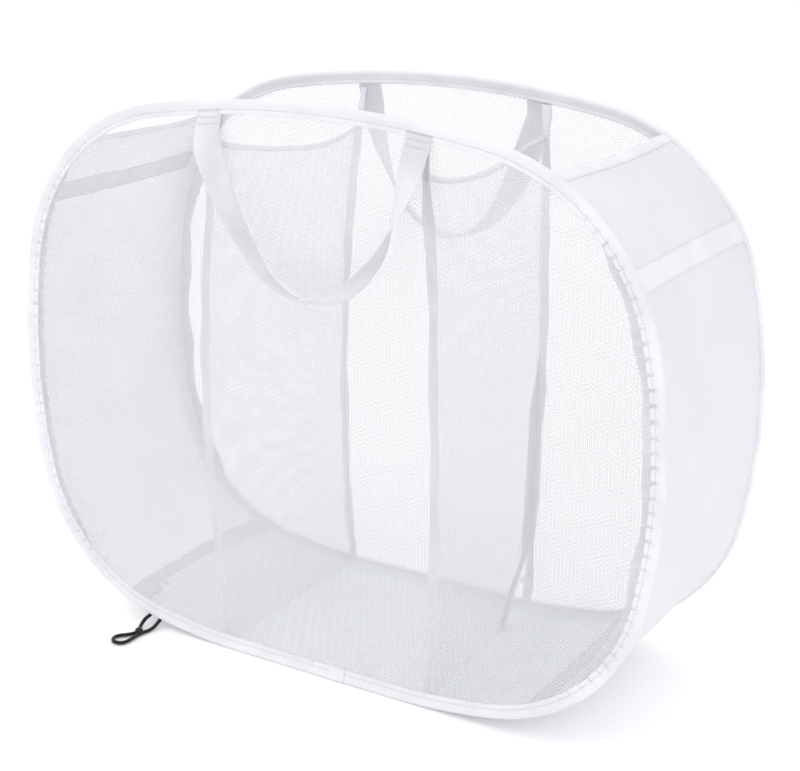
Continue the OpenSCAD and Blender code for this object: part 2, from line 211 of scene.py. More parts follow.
class HoopOutline:
    """The hoops' outline, walked by length from the middle of the foot and up the right side."""

    def __init__(self, hoop):
        top = Vector((0, hoop.height - hoop.top_radius))
        side = Vector((hoop.width / 2 - hoop.side_radius, hoop.widest))
        foot = Vector((hoop.foot_half, hoop.foot_radius))
        upper = inner_tangent(top, hoop.top_radius, side, hoop.side_radius, hoop.upper_radius)
        lower = inner_tangent(foot, hoop.foot_radius, side, hoop.side_radius, hoop.lower_radius)
        self.foot_half = hoop.foot_half
        self.foot_radius = hoop.foot_radius
        self.arcs = []
        begun = hoop.foot_half
        for centre, radius, a0, a1 in (
            (foot, hoop.foot_radius, -math.pi / 2, bearing(foot, lower)),
            (lower, hoop.lower_radius, bearing(foot, lower), bearing(side, lower)),
            (side, hoop.side_radius, bearing(side, lower), bearing(side, upper)),
            (upper, hoop.upper_radius, bearing(side, upper), bearing(top, upper)),
            (top, hoop.top_radius, bearing(top, upper), math.pi / 2),
        ):
            self.arcs.append((begun, centre, radius, a0))
            begun += (a1 - a0) * radius
        self.half = begun
        self.total = 2 * begun

    def at(self, along):
        """Place on the outline, and the direction inward from it."""
        along %= self.total
        if along > self.half:
            place, inward = self.at(self.total - along)
            return Vector((-place.x, place.y)), Vector((-inward.x, inward.y))
        if along <= self.foot_half:
            return Vector((along, 0)), Vector((0, 1))
        begun, centre, radius, a0 = [a for a in self.arcs if a[0] <= along][-1]
        a = a0 + (along - begun) / radius
        out = Vector((math.cos(a), math.sin(a)))
        return centre + out * radius, -out

    def inside(self, along, depth, y):
        place, inward = self.at(along)
        p = place + inward * depth
        return Vector((p.x, y, p.y))

    def along_where(self, reached):
        """First length up the right side at which the place meets a test."""
        step = self.half / 4000
        return next(i * step for i in range(4001) if reached(self.at(i * step)[0]))

    def foot_height(self, x):
        run = max(0.0, abs(x) - self.foot_half)
        return self.foot_radius - math.sqrt(self.foot_radius**2 - run**2)

    def area(self, depth):
        """Area inside the outline, drawn in by a depth."""
        count = 400
        ring = [self.inside(self.total * i / count, depth, 0) for i in range(count)]
        return abs(sum(a.x * b.z - b.x * a.z for a, b in zip(ring, ring[1:] + ring[:1]))) / 2


# ---------------------------------------------------------------- cloth shapes


def smooth_step(low, high, value):
    t = min(1.0, max(0.0, (value - low) / (high - low)))
    return t * t * (3 - 2 * t)


def ripple(*place):
    """Smooth noise from -1 to 1."""
    return noise.noise(Vector((place + (0.0, 0.0))[:3]))


def between(stops, t):
    """Value at t, straight from one stop of (t, value) to the next."""
    for (t0, v0), (t1, v1) in zip(stops, stops[1:]):
        if t <= t1:
            return v0 + (v1 - v0) * max(0.0, t - t0) / (t1 - t0)
    return stops[-1][1]


def eased(stops, t, reach):
    """Value at t with the corners at the stops rounded off over a reach."""
    spread = range(-3, 4)
    return sum(between(stops, t + reach * k / 3) for k in spread) / len(spread)


def curve_through(knots, count):
    """Evenly spaced places along a smooth curve through the knots."""
    knots = [Vector(k) for k in knots]
    ends = [2 * knots[0] - knots[1], *knots, 2 * knots[-1] - knots[-2]]
    fine = []
    for a, b, c, d in zip(ends, ends[1:], ends[2:], ends[3:]):
        for i in range(24):
            t = i / 24
            fine.append(
                0.5 * (2 * b + (c - a) * t + (2 * a - 5 * b + 4 * c - d) * t * t
                       + (3 * b - a - 3 * c + d) * t**3)
            )
    fine.append(knots[-1])
    reach = [0.0]
    for a, b in zip(fine, fine[1:]):
        reach.append(reach[-1] + (b - a).length)
    placed, k = [], 0
    for i in range(count):
        want = reach[-1] * i / (count - 1)
        while k < len(fine) - 2 and reach[k + 1] < want:
            k += 1
        span = reach[k + 1] - reach[k]
        placed.append(fine[k].lerp(fine[k + 1], min(1.0, (want - reach[k]) / span)))
    return placed, reach[-1]


def skin(name, rings, cloth, material, around=False, along=False, caps=False):
    """Skin over rings of points. cloth(i, j) gives the place on the flat cloth, in metres."""
    n, m = len(rings), len(rings[0])
    faces, corners = [], []
    for i in range(n if along else n - 1):
        for j in range(m if around else m - 1):
            i2, j2 = (i + 1) % n, (j + 1) % m
            faces.append((i * m + j, i2 * m + j, i2 * m + j2, i * m + j2))
            corners += [cloth(i, j), cloth(i + 1, j), cloth(i + 1, j + 1), cloth(i, j + 1)]
    if caps:
        for i in (0, n - 1):
            faces.append(tuple(i * m + j for j in range(m)))
            corners += [cloth(i, j) for j in range(m)]
    data = bpy.data.meshes.new(name)
    data.from_pydata([p for ring in rings for p in ring], [], faces)
    layer = data.uv_layers.new(name=CLOTH_MAP)
    layer.data.foreach_set("uv", [c for corner in corners for c in corner])
    data.shade_smooth()
    data.materials.append(material)
    data.validate()
    piece = bpy.data.objects.new(name, data)
    bpy.context.scene.collection.objects.link(piece)
    return piece


def shade_inside_faces(piece, lining, first):
    """Gives the faces from the first onward the darker inside finish: painted shade where the
    doubled cloth blocks the light.
    """
    piece.data.materials.append(lining)
    for face in piece.data.polygons[first:]:
        face.material_index = 1


def sewn_stitches(name, spots, length, radius, material):
    """Short raised stitches; a spot is a middle, a direction along it and one out of the cloth."""
    rings, points, faces = 5, [], []
    for middle, run, out in spots:
        side = run.cross(out)
        first = len(points)
        points.append(middle - run * length / 2 - out * radius)
        for share in (-0.28, 0.28):
            for k in range(rings):
                a = 2 * math.pi * k / rings
                points.append(
                    middle + run * length * share
                    + (side * math.cos(a) + out * (0.35 + math.sin(a))) * radius
                )
        points.append(middle + run * length / 2 - out * radius)
        for k in range(rings):
            a, b = first + 1 + k, first + 1 + (k + 1) % rings
            faces.append((first, b, a))
            faces.append((a, b, b + rings, a + rings))
            faces.append((a + rings, b + rings, first + 1 + 2 * rings))
    data = bpy.data.meshes.new(name)
    data.from_pydata(points, [], faces)
    data.shade_smooth()
    data.materials.append(material)
    piece = bpy.data.objects.new(name, data)
    bpy.context.scene.collection.objects.link(piece)
    return piece


def tube(name, path, radius, material, sides=10):
    """Round cord along a path, with its ends closed."""
    rings, travelled = [], [0.0]
    turns = [2 * math.pi * k / sides for k in range(sides)]
    side = None
    for i, p in enumerate(path):
        run = (path[min(i + 1, len(path) - 1)] - path[max(i - 1, 0)]).normalized()
        if side is None:
            side = run.orthogonal().normalized()
        side = (side - run * side.dot(run)).normalized()
        up = run.cross(side)
        rings.append([p + radius * (side * math.cos(a) + up * math.sin(a)) for a in turns])
        if i:
            travelled.append(travelled[-1] + (p - path[i - 1]).length)
    girth = 2 * math.pi * radius / sides
    return skin(name, rings, lambda i, j: (travelled[min(i, len(path) - 1)], j * girth),
                material, around=True, caps=True)


def squash_between_hoops(piece, reach):
    """Fixes cloth that runs between the hoops to the front frame, with a mesh of its own."""
    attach(piece, "front_frame")
    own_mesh(piece)


# ---------------------------------------------------------------- shader groups and finishes


class Wiring:
    """Short hand for laying nodes in one tree."""

    def __init__(self, tree):
        self.tree = tree

    def node(self, kind, **settings):
        made = self.tree.nodes.new(kind)
        made.location = (len(self.tree.nodes) * 170, 0)
        for key, value in settings.items():
            setattr(made, key, value)
        return made

    def feed(self, socket, value):
        if isinstance(value, bpy.types.NodeSocket):
            self.tree.links.new(value, socket)
        elif value is not None:
            socket.default_value = value

    def maths(self, operation, a, b=None, c=None):
        made = self.node("ShaderNodeMath", operation=operation)
        for socket, value in zip(made.inputs, (a, b, c)):
            self.feed(socket, value)
        return made.outputs[0]

    def vector(self, operation, a, b=None):
        made = self.node("ShaderNodeVectorMath", operation=operation)
        self.feed(made.inputs[0], a)
        self.feed(made.inputs[1], b)
        return made.outputs["Value" if operation == "LENGTH" else "Vector"]

    def remap(self, value, low, high, to_low=0.0, to_high=1.0, smooth=True):
        made = self.node(
            "ShaderNodeMapRange", interpolation_type="SMOOTHSTEP" if smooth else "LINEAR"
        )
        for label, v in (("Value", value), ("From Min", low), ("From Max", high),
                         ("To Min", to_low), ("To Max", to_high)):
            self.feed(made.inputs[label], v)
        return made.outputs["Result"]

    def shade(self, factor, dark, light):
        made = self.node("ShaderNodeMix", data_type="RGBA")
        self.feed(made.inputs["Factor"], factor)
        made.inputs["A"].default_value = (*dark, 1)
        made.inputs["B"].default_value = (*light, 1)
        return next(o for o in made.outputs if o.type == "RGBA")

    def cloth_place(self):
        return self.node("ShaderNodeUVMap", uv_map=CLOTH_MAP).outputs["UV"]


def shader_group(name, inputs, outputs, lay_out):
    """A node group with named sockets, built once."""
    group = bpy.data.node_groups.get(name)
    if group:
        return group
    group = bpy.data.node_groups.new(name, "ShaderNodeTree")
    for label, default in inputs:
        socket = group.interface.new_socket(label, in_out="INPUT", socket_type="NodeSocketFloat")
        socket.default_value = default
    for label in outputs:
        group.interface.new_socket(label, in_out="OUTPUT", socket_type="NodeSocketFloat")
    wires = Wiring(group)
    source = wires.node("NodeGroupInput")
    results = lay_out(wires, source.outputs)
    sink = wires.node("NodeGroupOutput")
    for label in outputs:
        wires.feed(sink.inputs[label], results[label])
    return group


def net_weave():
    """Warp-knit net with staggered round openings."""

    def lay_out(w, given):
        wander = w.node("ShaderNodeTexNoise", noise_dimensions="2D")
        place = w.cloth_place()
        w.feed(wander.inputs["Vector"], place)
        wander.inputs["Scale"].default_value = 14
        wander.inputs["Detail"].default_value = 1
        drift = w.vector("MULTIPLY", w.vector("SUBTRACT", wander.outputs["Color"], (0.5, 0.5, 0.5)),
                         (0.0008, 0.0008, 0))
        moved = w.vector("ADD", place, drift)
        parts = w.node("ShaderNodeSeparateXYZ")
        w.feed(parts.inputs[0], moved)
        cell = w.node("ShaderNodeCombineXYZ")
        w.feed(cell.inputs["X"], w.maths("DIVIDE", parts.outputs["X"], given["Pitch"]))
        w.feed(cell.inputs["Y"],
               w.maths("DIVIDE", parts.outputs["Y"], w.maths("MULTIPLY", given["Pitch"], 1.62)))
        spans = []
        for shift in (0.0, 0.5):
            turned = w.vector("ADD", cell.outputs[0], (shift, shift, 0))
            near = w.vector("SUBTRACT", w.vector("FRACTION", turned), (0.5, 0.5, 0))
            spans.append(w.vector("LENGTH", w.vector("MULTIPLY", near, (1, 1.62, 0))))
        span = w.maths("MINIMUM", *spans)
        soft = w.maths("MULTIPLY", given["Opening"], 0.16)
        solid = w.remap(span, w.maths("SUBTRACT", given["Opening"], soft),
                        w.maths("ADD", given["Opening"], soft))
        crown = w.remap(span, given["Opening"], 0.56)
        return {"Solid": solid, "Height": crown, "Shade": crown}

    return shader_group(
        "Hamper Net", (("Pitch", 0.0034), ("Opening", 0.34)), ("Solid", "Height", "Shade"), lay_out
    )


def woven_ribs():
    """Plain weave: ribs that cross the tape, with threads between them."""

    def lay_out(w, given):
        parts = w.node("ShaderNodeSeparateXYZ")
        w.feed(parts.inputs[0], w.cloth_place())
        ribs = w.maths("DIVIDE", parts.outputs["X"], given["Rib Pitch"])
        turn = w.maths("MULTIPLY", ribs, math.pi)
        rib = w.maths("ABSOLUTE", w.maths("SINE", turn))
        odd = w.maths("MULTIPLY", w.maths("FLOOR", w.maths("DIVIDE", turn, math.pi)), math.pi)
        cross = w.maths("MULTIPLY", w.maths("DIVIDE", parts.outputs["Y"], given["Thread Pitch"]),
                      2 * math.pi)
        thread = w.remap(w.maths("SINE", w.maths("ADD", cross, odd)), -1.0, 1.0, 0.55, 1.0)
        crown = w.maths("MULTIPLY", rib, thread)
        return {"Height": crown, "Shade": crown}

    return shader_group(
        "Hamper Weave", (("Rib Pitch", 0.0012), ("Thread Pitch", 0.0012)), ("Height", "Shade"),
        lay_out,
    )


def cloth_handling():
    """Soft creases and slight unevenness from folding and use."""

    def lay_out(w, given):
        place = w.cloth_place()
        outs = {}
        for label, scale, detail in (("Tone", 1.0, 2), ("Crease", 4.2, 4)):
            grain = w.node("ShaderNodeTexNoise", noise_dimensions="2D")
            w.feed(grain.inputs["Vector"], place)
            w.feed(grain.inputs["Scale"], w.maths("MULTIPLY", given["Spread"], scale))
            grain.inputs["Detail"].default_value = detail
            outs[label] = w.remap(grain.outputs["Fac"], 0.3, 0.7)
        return outs

    return shader_group("Hamper Handling", (("Spread", 9.0),), ("Tone", "Crease"), lay_out)


def finish_material(name):
    """A new material and the wiring of its tree, or None for one that is already made."""
    material = bpy.data.materials.get(name)
    if material:
        return material, None, None
    material = bpy.data.materials.new(name)
    material.use_nodes = True
    wires = Wiring(material.node_tree)
    return material, wires, material.node_tree.nodes["Principled BSDF"]


def place_group(wires, group, **values):
    made = wires.node("ShaderNodeGroup", node_tree=group)
    for label, value in values.items():
        made.inputs[label.replace("_", " ")].default_value = value
    return made.outputs


def tint(colour, share):
    return tuple(min(1.0, c * share) for c in colour)


def woven_cloth(name, colour, rib, thread, relief, spread, crease, roughness, sheen, gloss,
                contrast):
    """Woven cloth: ribs and threads over soft creases."""
    material, wires, principled = finish_material(name)
    if wires is None:
        return material
    weave = place_group(wires, woven_ribs(), Rib_Pitch=rib, Thread_Pitch=thread)
    handled = place_group(wires, cloth_handling(), Spread=spread)
    mixed = wires.maths("MULTIPLY_ADD", handled["Tone"], 0.55,
                      wires.maths("MULTIPLY", weave["Shade"], 0.45))
    wires.feed(principled.inputs["Base Color"],
               wires.shade(mixed, tint(colour, 1 - contrast), tint(colour, 1 + contrast / 2)))
    wires.feed(principled.inputs["Roughness"],
               wires.remap(handled["Tone"], 0.0, 1.0, roughness - 0.05, roughness + 0.05))
    creases = wires.node("ShaderNodeBump")
    creases.inputs["Distance"].default_value = crease
    wires.feed(creases.inputs["Height"], handled["Crease"])
    ribs = wires.node("ShaderNodeBump")
    ribs.inputs["Distance"].default_value = relief
    wires.feed(ribs.inputs["Height"], weave["Height"])
    wires.feed(ribs.inputs["Normal"], creases.outputs["Normal"])
    wires.feed(principled.inputs["Normal"], ribs.outputs["Normal"])
    principled.inputs["Sheen Weight"].default_value = sheen
    principled.inputs["Sheen Roughness"].default_value = 0.4
    principled.inputs["Specular IOR Level"].default_value = gloss
    return material


def knitted_net(name, colour, pitch, opening):
    """Open net: clear between its threads."""
    material, wires, principled = finish_material(name)
    if wires is None:
        return material
    net = place_group(wires, net_weave(), Pitch=pitch, Opening=opening)
    handled = place_group(wires, cloth_handling(), Spread=7.0)
    mixed = wires.maths("MULTIPLY_ADD", handled["Tone"], 0.35,
                      wires.maths("MULTIPLY", net["Shade"], 0.65))
    wires.feed(principled.inputs["Base Color"],
               wires.shade(mixed, tint(colour, 0.95), tint(colour, 1.02)))
    wires.feed(principled.inputs["Roughness"],
               wires.remap(handled["Tone"], 0.0, 1.0, 0.62, 0.74))
    wires.feed(principled.inputs["Alpha"], net["Solid"])
    threads = wires.node("ShaderNodeBump")
    threads.inputs["Distance"].default_value = 0.00035
    threads.inputs["Strength"].default_value = 0.35
    wires.feed(threads.inputs["Height"], net["Height"])
    wires.feed(principled.inputs["Normal"], threads.outputs["Normal"])
    principled.inputs["Specular IOR Level"].default_value = 0.3
    return material


def brushed_steel(name, colour):
    """Drawn spring wire: fine scratches and a dull sheen."""
    material, wires, principled = finish_material(name)
    if wires is None:
        return material
    place = wires.node("ShaderNodeTexCoord").outputs["Object"]
    scratches = wires.node("ShaderNodeTexNoise")
    wires.feed(scratches.inputs["Vector"], wires.vector("MULTIPLY", place, (40, 3000, 40)))
    scratches.inputs["Detail"].default_value = 3
    wires.feed(principled.inputs["Base Color"],
               wires.shade(scratches.outputs["Fac"], tint(colour, 0.8), tint(colour, 1.15)))
    wires.feed(principled.inputs["Roughness"],
               wires.remap(scratches.outputs["Fac"], 0.2, 0.8, 0.28, 0.46))
    bump = wires.node("ShaderNodeBump")
    bump.inputs["Distance"].default_value = 0.00003
    wires.feed(bump.inputs["Height"], scratches.outputs["Fac"])
    wires.feed(principled.inputs["Normal"], bump.outputs["Normal"])
    principled.inputs["Metallic"].default_value = 1.0
    return material


CLOTH_FINISHES = {
    # Colour: name, rib and thread pitch, relief, spread and depth of creases, roughness, sheen,
    # gloss, contrast
    "binding": ("Binding Tape", 0.0011, 0.0016, 0.00012, 16, 0.0004, 0.80, 0.20, 0.35, 0.10),
    # The left panel's finish is the right panel's cloth in a lighter colour, painted light for
    # light through the cloth
    "left_panel": ("Left Panel Cloth", 0.0006, 0.0006, 0.00004, 7, 0.0008, 0.46, 0.10, 0.5, 0.06),
    "right_panel": ("Right Panel Cloth", 0.0006, 0.0006, 0.00004, 7, 0.0008, 0.46, 0.10, 0.5, 0.06),
    "floor": ("Floor Cloth", 0.0006, 0.0006, 0.00004, 7, 0.0008, 0.50, 0.10, 0.45, 0.06),
    "hem": ("Hem Cloth", 0.0007, 0.0007, 0.00005, 20, 0.0005, 0.62, 0.15, 0.35, 0.10),
    # Inner faces of the bands, darker as painted shade
    "lining": ("Lining Cloth", 0.0007, 0.0007, 0.00005, 20, 0.0005, 0.7, 0.1, 0.35, 0.10),
    "turned": ("Turned Net Edge", 0.0013, 0.0010, 0.00012, 24, 0.0005, 0.8, 0.2, 0.35, 0.10),
    "tape": ("Seam Tape", 0.0010, 0.0010, 0.00008, 24, 0.0004, 0.8, 0.2, 0.35, 0.10),
    "webbing": ("Webbing", 0.0021, 0.0016, 0.00030, 14, 0.0003, 0.78, 0.25, 0.35, 0.16),
    "thread": ("Sewing Thread", 0.0006, 0.0004, 0.00008, 30, 0.0001, 0.55, 0.2, 0.35, 0.10),
    "elastic": ("Black Elastic", 0.0011, 0.0011, 0.00022, 60, 0.0001, 0.66, 0.3, 0.35, 0.4),
}
# The divider net's darker colour is painted shade on the same net
NET_FINISHES = {"net": "Mesh Net", "divider": "Divider Net"}
NET_PITCH, NET_OPENING = 0.0027, 0.385


def cloth_finish(colours, kind):
    """Finish of one of the hamper's cloths or nets, by the name of its colour."""
    colour = getattr(colours, kind)
    if kind in NET_FINISHES:
        return knitted_net(NET_FINISHES[kind], colour, NET_PITCH, NET_OPENING)
    return woven_cloth(CLOTH_FINISHES[kind][0], colour, *CLOTH_FINISHES[kind][1:])


def give_finish(node, material):
    """Puts a finish on a fixed piece of the frame."""
    piece = frame["nodes"][node]
    piece.data.materials.clear()
    piece.data.materials.append(material)


# ---------------------------------------------------------------- the hamper's own shapes

LAMP_AIM = Vector((0, 0, 0.3))
GROUND_REACH, GROUND_LEVEL = 30, -0.0003
# Middle line of the cord, in millimetres from the front hoop's plane
CORD_ROUTE = (
    (-211, 0, 13.34), (-211, 0, 10.34), (-212, -6, 8.5), (-213, -11, 5), (-211, -18, 2.5),
    (-207, -26, 2.5), (-208, -32, 2.5), (-212, -38, 2.5), (-217, -43, 2.5),
    (-219, -49, 2.5), (-216, -55, 2.5), (-210, -57, 2.5), (-204, -54, 2.5),
    (-202, -48, 2.5), (-202, -41, 2.5), (-202, -33, 2.5), (-201, -25, 2.5),
    (-199, -18, 2.5), (-198, -11, 3.5), (-198, -5, 5.5), (-198, 0, 7.81), (-198, 0, 10.81),
)
# Half of the binding's section: depth inside the hoop and half thickness, in millimetres
BINDING_SECTION = (
    (0.3, 1.9), (1.1, 3.2), (2.3, 3.9), (3.6, 3.95), (5.0, 3.5), (6.5, 2.6), (8.0, 1.85),
    (9.2, 1.5), (10.5, 1.65), (12.0, 1.85), (13.3, 1.75), (14.0, 1.2), (13.8, 0.45),
)
# Knots along each handle, in metres from its axis, and its roll in degrees over its length
HANDLE_SHAPES = {
    "front": (
        ((-0.112, 0.004), (-0.108, -0.022), (-0.096, -0.047), (-0.078, -0.084),
         (-0.056, -0.119), (-0.033, -0.146), (0.000, -0.159), (0.034, -0.152),
         (0.060, -0.135), (0.085, -0.105), (0.098, -0.074), (0.107, -0.044),
         (0.113, -0.020), (0.116, 0.004)),
        ((0, 0), (0.04, 4), (0.10, 52), (0.18, 76), (0.335, 98), (0.48, 109), (0.58, 120),
         (0.71, 100), (0.81, 62), (0.90, 20), (0.96, 2), (1, 0)),
    ),
    "back": (
        ((-0.087, 0.004), (-0.086, -0.022), (-0.083, -0.042), (-0.076, -0.075),
         (-0.060, -0.115), (-0.030, -0.144), (0.009, -0.152), (0.045, -0.134),
         (0.073, -0.097), (0.092, -0.058), (0.103, -0.030), (0.108, -0.015),
         (0.110, 0.004)),
        ((0, 0), (0.08, 0), (0.30, 60), (0.5, 90), (0.70, 60), (0.90, 4), (1, 0)),
    ),
}
# Section of the webbing, in shares of half its width and thickness
WEBBING_EDGE = (
    (-1, 0.2), (-0.985, 0.75), (-0.90, 1.0), (-0.6, 0.9), (-0.3, 0.95), (0, 0.9),
    (0.3, 0.95), (0.6, 0.9), (0.90, 1.0), (0.985, 0.75), (1, 0.2),
)
# Folded bands, hems and tapes: share of the width, and lift in millimetres
BAND_FOLD = (
    (-0.5, 0.00), (-0.49, 0.8), (-0.3, 0.9), (0, 0.85), (0.3, 0.9), (0.49, 0.8), (0.5, 0.00),
    (0.49, -0.7), (0.3, -0.8), (0, -0.75), (-0.3, -0.8), (-0.49, -0.7), (-0.5, 0.00),
)
TOP_HEM_FOLD = (
    (-1.0, 0.1), (-0.97, 0.7), (-0.5, 0.8), (-0.06, 0.8), (0.05, 0.3), (0.05, -0.4),
    (-0.06, -0.9), (-0.5, -1.0), (-0.97, -0.9), (-1.0, -0.2),
)
DIVIDER_HEM_FOLD = (
    (-1.0, 0.15), (-0.97, 0.8), (-0.5, 0.9), (-0.05, 0.8), (0.07, 0.0), (-0.05, -0.8),
    (-0.5, -0.9), (-0.97, -0.8), (-1.0, -0.15),
)
TAPE_PROFILE = (
    (-0.5, 0.3), (-0.46, 0.9), (-0.2, 1.1), (0, 1.5), (0.2, 1.1), (0.46, 0.9), (0.5, 0.3),
)
STAY_PROFILE = ((-0.5, 0.2), (-0.4, 0.7), (0, 0.8), (0.4, 0.7), (0.5, 0.2))
# Flat width that a folded hem takes, in hem widths
TOP_HEM_TAKES, DIVIDER_HEM_TAKES = 2.2, 2.1
HEM_GAP = 0.0006
TAPE_LOW, TAPE_SHORT = 0.0152, 0.0215
# Stitch row on the binding: depth inside the hoop and height off its middle, in millimetres
STITCH_DEPTH, STITCH_FACE = 9.4, 1.52
# Gathers: swelling of the binding, more of it on its outer face, and how they lift the net
GATHER_RELIEF, FACE_RELIEF = 0.85, 0.00025
NET_PUCKER, NET_PUCKER_REACH = 0.0010, 0.012
NET_HELD = 0.008
SEAM_LOW, SEAM_HIGH = 0.062, 0.488
# Where dividers meet nets: distance, bow and lean along X, then middle and half height
DIVIDER_LINES = {
    ("left", "front"): (0.1067, 0.0203, -0.0023, 0.285, 0.265),
    ("left", "back"): (0.103, 0.016, -0.004, 0.256, 0.249),
    ("right", "front"): (0.125, 0.008, -0.0055, 0.281, 0.259),
    ("right", "back"): (0.118, 0.005, 0.003, 0.247, 0.230),
}
# Top edges of the dividers, from the front hoop to the back one, in millimetres at a sag of 17
DIVIDER_TOPS = {
    "left": ((-1, 8), (-0.76, -2), (-0.53, -6.5), (-0.25, -13), (0.24, -20.5), (0.5, -21.5),
             (0.75, -18), (0.92, -12), (1, -9)),
    "right": ((-1, 0), (-0.8, -8.5), (-0.48, -14.5), (-0.06, -16), (0.24, -13), (0.65, -5), (1, 0)),
}
# Widths of the seam edges, in shares of the size set for them
SEAM_EDGES = {
    ("front", "left"): 0.9, ("front", "right"): 1.2, ("back", "left"): 2.0, ("back", "right"): 1.0,
}
SIDES = {"left": -1, "right": 1}
FACES = {"front": -1, "back": 1}


class Hamper:
    """Shapes that the pieces share: hoops, nets, panels and dividers."""

    def __init__(self, scene):
        self.hoop = scene.hamper_hoops
        self.cloth = scene.hamper_cloth
        self.colours = scene.hamper_colours
        self.outline = HoopOutline(self.hoop)
        self.panel_start = self.outline.along_where(lambda p: p.x >= self.cloth.floor_half)
        self.panel_end = {
            side: self.outline.along_where(lambda p: p.y >= top)
            for side, top in (("left", self.cloth.left_top), ("right", self.cloth.right_top))
        }

    def finish(self, kind):
        return cloth_finish(self.colours, kind)

    def gather(self, along, seed):
        """Puckers along the hoop, strong on its sides and faint on its top and foot."""
        inward = self.outline.at(along)[1]
        share = 0.10 + 0.90 * smooth_step(0.30, 0.85, abs(inward.x))
        turn = along / self.cloth.gather_pitch + 0.4 * ripple(along * 20, seed)
        groove = math.exp(-(((turn % 1) - 0.5) / 0.17) ** 2)
        return share, (0.2 - 1.5 * groove) * (0.85 + 0.35 * ripple(along * 33, seed + 7.3))

    def binding_gather(self, along, s):
        """Strength and pucker of a gather in the binding, and how far it wanders along Y."""
        share, pucker = self.gather(along, s * 2.0)
        return share, pucker, share * 0.0005 * ripple(along * 41, s * 6.5)

    def net_pucker(self, share, pucker, away):
        """How far a gather lifts the net at a distance from the binding."""
        return share * pucker * NET_PUCKER * math.exp(-away / NET_PUCKER_REACH)

    def net_offset(self, x, z, face):
        """How far the net bellies towards the middle at a place."""
        s = FACES[face]
        deep = 0.0016 * ripple(x * 5, z * 5, s * 3.1) + 0.0009 * ripple(x * 13, z * 11, s * 5.7)
        for side in SIDES:
            away = (x - self.divider_line(side, face, z)) / 0.016
            deep += 0.0011 * math.exp(-away * away)
        return -s * deep

    def divider_line(self, side, face, z):
        """Where a divider meets a net, along X."""
        foot, bow, lean, middle, half = DIVIDER_LINES[side, face]
        t = (z - middle) / half
        return SIDES[side] * (foot + bow * (1 - t * t) + lean * t)

    def divider_x(self, side, y, z):
        reach = self.cloth.divider_reach
        share = (y + reach) / (2 * reach)
        front, back = (self.divider_line(side, f, z) for f in FACES)
        loose = 4 * share * (1 - share)
        wave = 0.0030 * ripple(y * 9, z * 6, SIDES[side] * 4.4)
        wave += 0.0012 * ripple(y * 26, z * 15, SIDES[side] * 9.1)
        return front + (back - front) * share + loose * wave

    def divider_top(self, side, y):
        t = y / self.cloth.divider_reach
        drape = eased(DIVIDER_TOPS[side], t, 0.12) * self.cloth.divider_sag / 17
        scallop = 0.0007 * ripple(y * 60, SIDES[side] * 2.7) * (1 - t**4)
        return self.cloth.divider_top + drape + scallop

    def divider_foot(self, side, y):
        """Height of a divider's lower edge; the right one is cut away at its back corner."""
        low = self.outline.foot_height(self.cloth.divider_place) + 0.0046
        if side == "right":
            cut = (y - self.cloth.divider_reach) / self.cloth.corner_run + 1
            low += self.cloth.corner_rise * max(0.0, cut) ** 0.8
        return low

    def panel_depth(self, along, y, seed):
        """Depth of an end or floor panel inside the hoops."""
        t = abs(y) / self.cloth.panel_reach
        share, pucker = self.gather(along, seed)
        deep = self.cloth.panel_inset + 0.0022 * (1 - t * t)
        deep += 0.0024 * ripple(along * 5, y * 7, seed) * (1 - t**4)
        deep += 0.0008 * ripple(along * 24, y * 16, seed + 3) * (1 - t**6)
        edge = (self.cloth.panel_reach - abs(y)) / 0.011
        deep += 0.0009 * share * pucker * math.exp(-edge)
        return max(0.0012, deep)

    def panel_place(self, along, y, seed, lift=0.0):
        """A place on a panel, lifted towards the outside."""
        return self.outline.inside(along, self.panel_depth(along, y, seed) - lift, y)

    def across(self, reach, count):
        """Places from one hoop to the other, closer together near the hoops."""
        spread = []
        for j in range(count + 1):
            t = 2 * j / count - 1
            spread.append(reach * math.copysign(1 - (1 - abs(t)) ** 1.35, t))
        return spread

    def side_along(self, side, along):
        """Length round the outline for a place on the left or the right."""
        return along if side == "right" else self.outline.total - along

    def handle_shape(self, face, knots, rolls):
        """Middle, width direction and face direction at places along a handle."""
        s = FACES[face]
        cloth = self.cloth
        axis = HANDLE_AXES[face + "_handle_loop"]
        spread, length = curve_through([Vector((x, axis.z + z, 0)) for x, z in knots], 150)
        shape = []
        for i, p in enumerate(spread):
            share = i / (len(spread) - 1)
            roll = math.radians(eased(rolls, share, 0.03))
            tucked = 0
            if min(share, 1 - share) < 0.2:
                tucked = 0.0046 * (1 - smooth_step(-0.002, 0.017, axis.z - p.y))
            out = abs(axis.y) - tucked + cloth.webbing_width / 2 * math.sin(roll)
            ahead = spread[min(i + 1, len(spread) - 1)] - spread[max(i - 1, 0)]
            run = Vector((ahead.x, 0, ahead.y)).normalized()
            wide = Vector((run.z, 0, -run.x)) * math.cos(roll) + Vector((0, s * math.sin(roll), 0))
            shape.append((Vector((p.x, s * out, p.y)), wide, run.cross(wide)))
        return shape, length


def hamper():
    return Hamper(bpy.context.scene)


def top_droop(t, sx):
    """How far the open edge of an end panel hangs below its ends."""
    return 0.0030 * (1 - t * t) + 0.0012 * ripple(t * 4.0, sx * 7.0) * (1 - t**4)


def grid(rows, columns, place):
    """Rings of points; place(i, j) gives the point in row i and column j."""
    return [[place(i, j) for j in range(columns)] for i in range(rows)]


def carry(piece, body, slot, *nodes):
    """Fixes a piece to a body and shows it in place of nodes of the frame."""
    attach(piece, body)
    stand_for(piece, slot, *nodes)


def stand_for(piece, slot, *nodes):
    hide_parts(*nodes)


def hang_between_hoops(piece, reach, slot, length, node):
    """Sheet that runs from hoop to hoop, in place of a node of the frame."""
    squash_between_hoops(piece, reach)
    stand_for(piece, slot, node)


# ---------------------------------------------------------------- operators


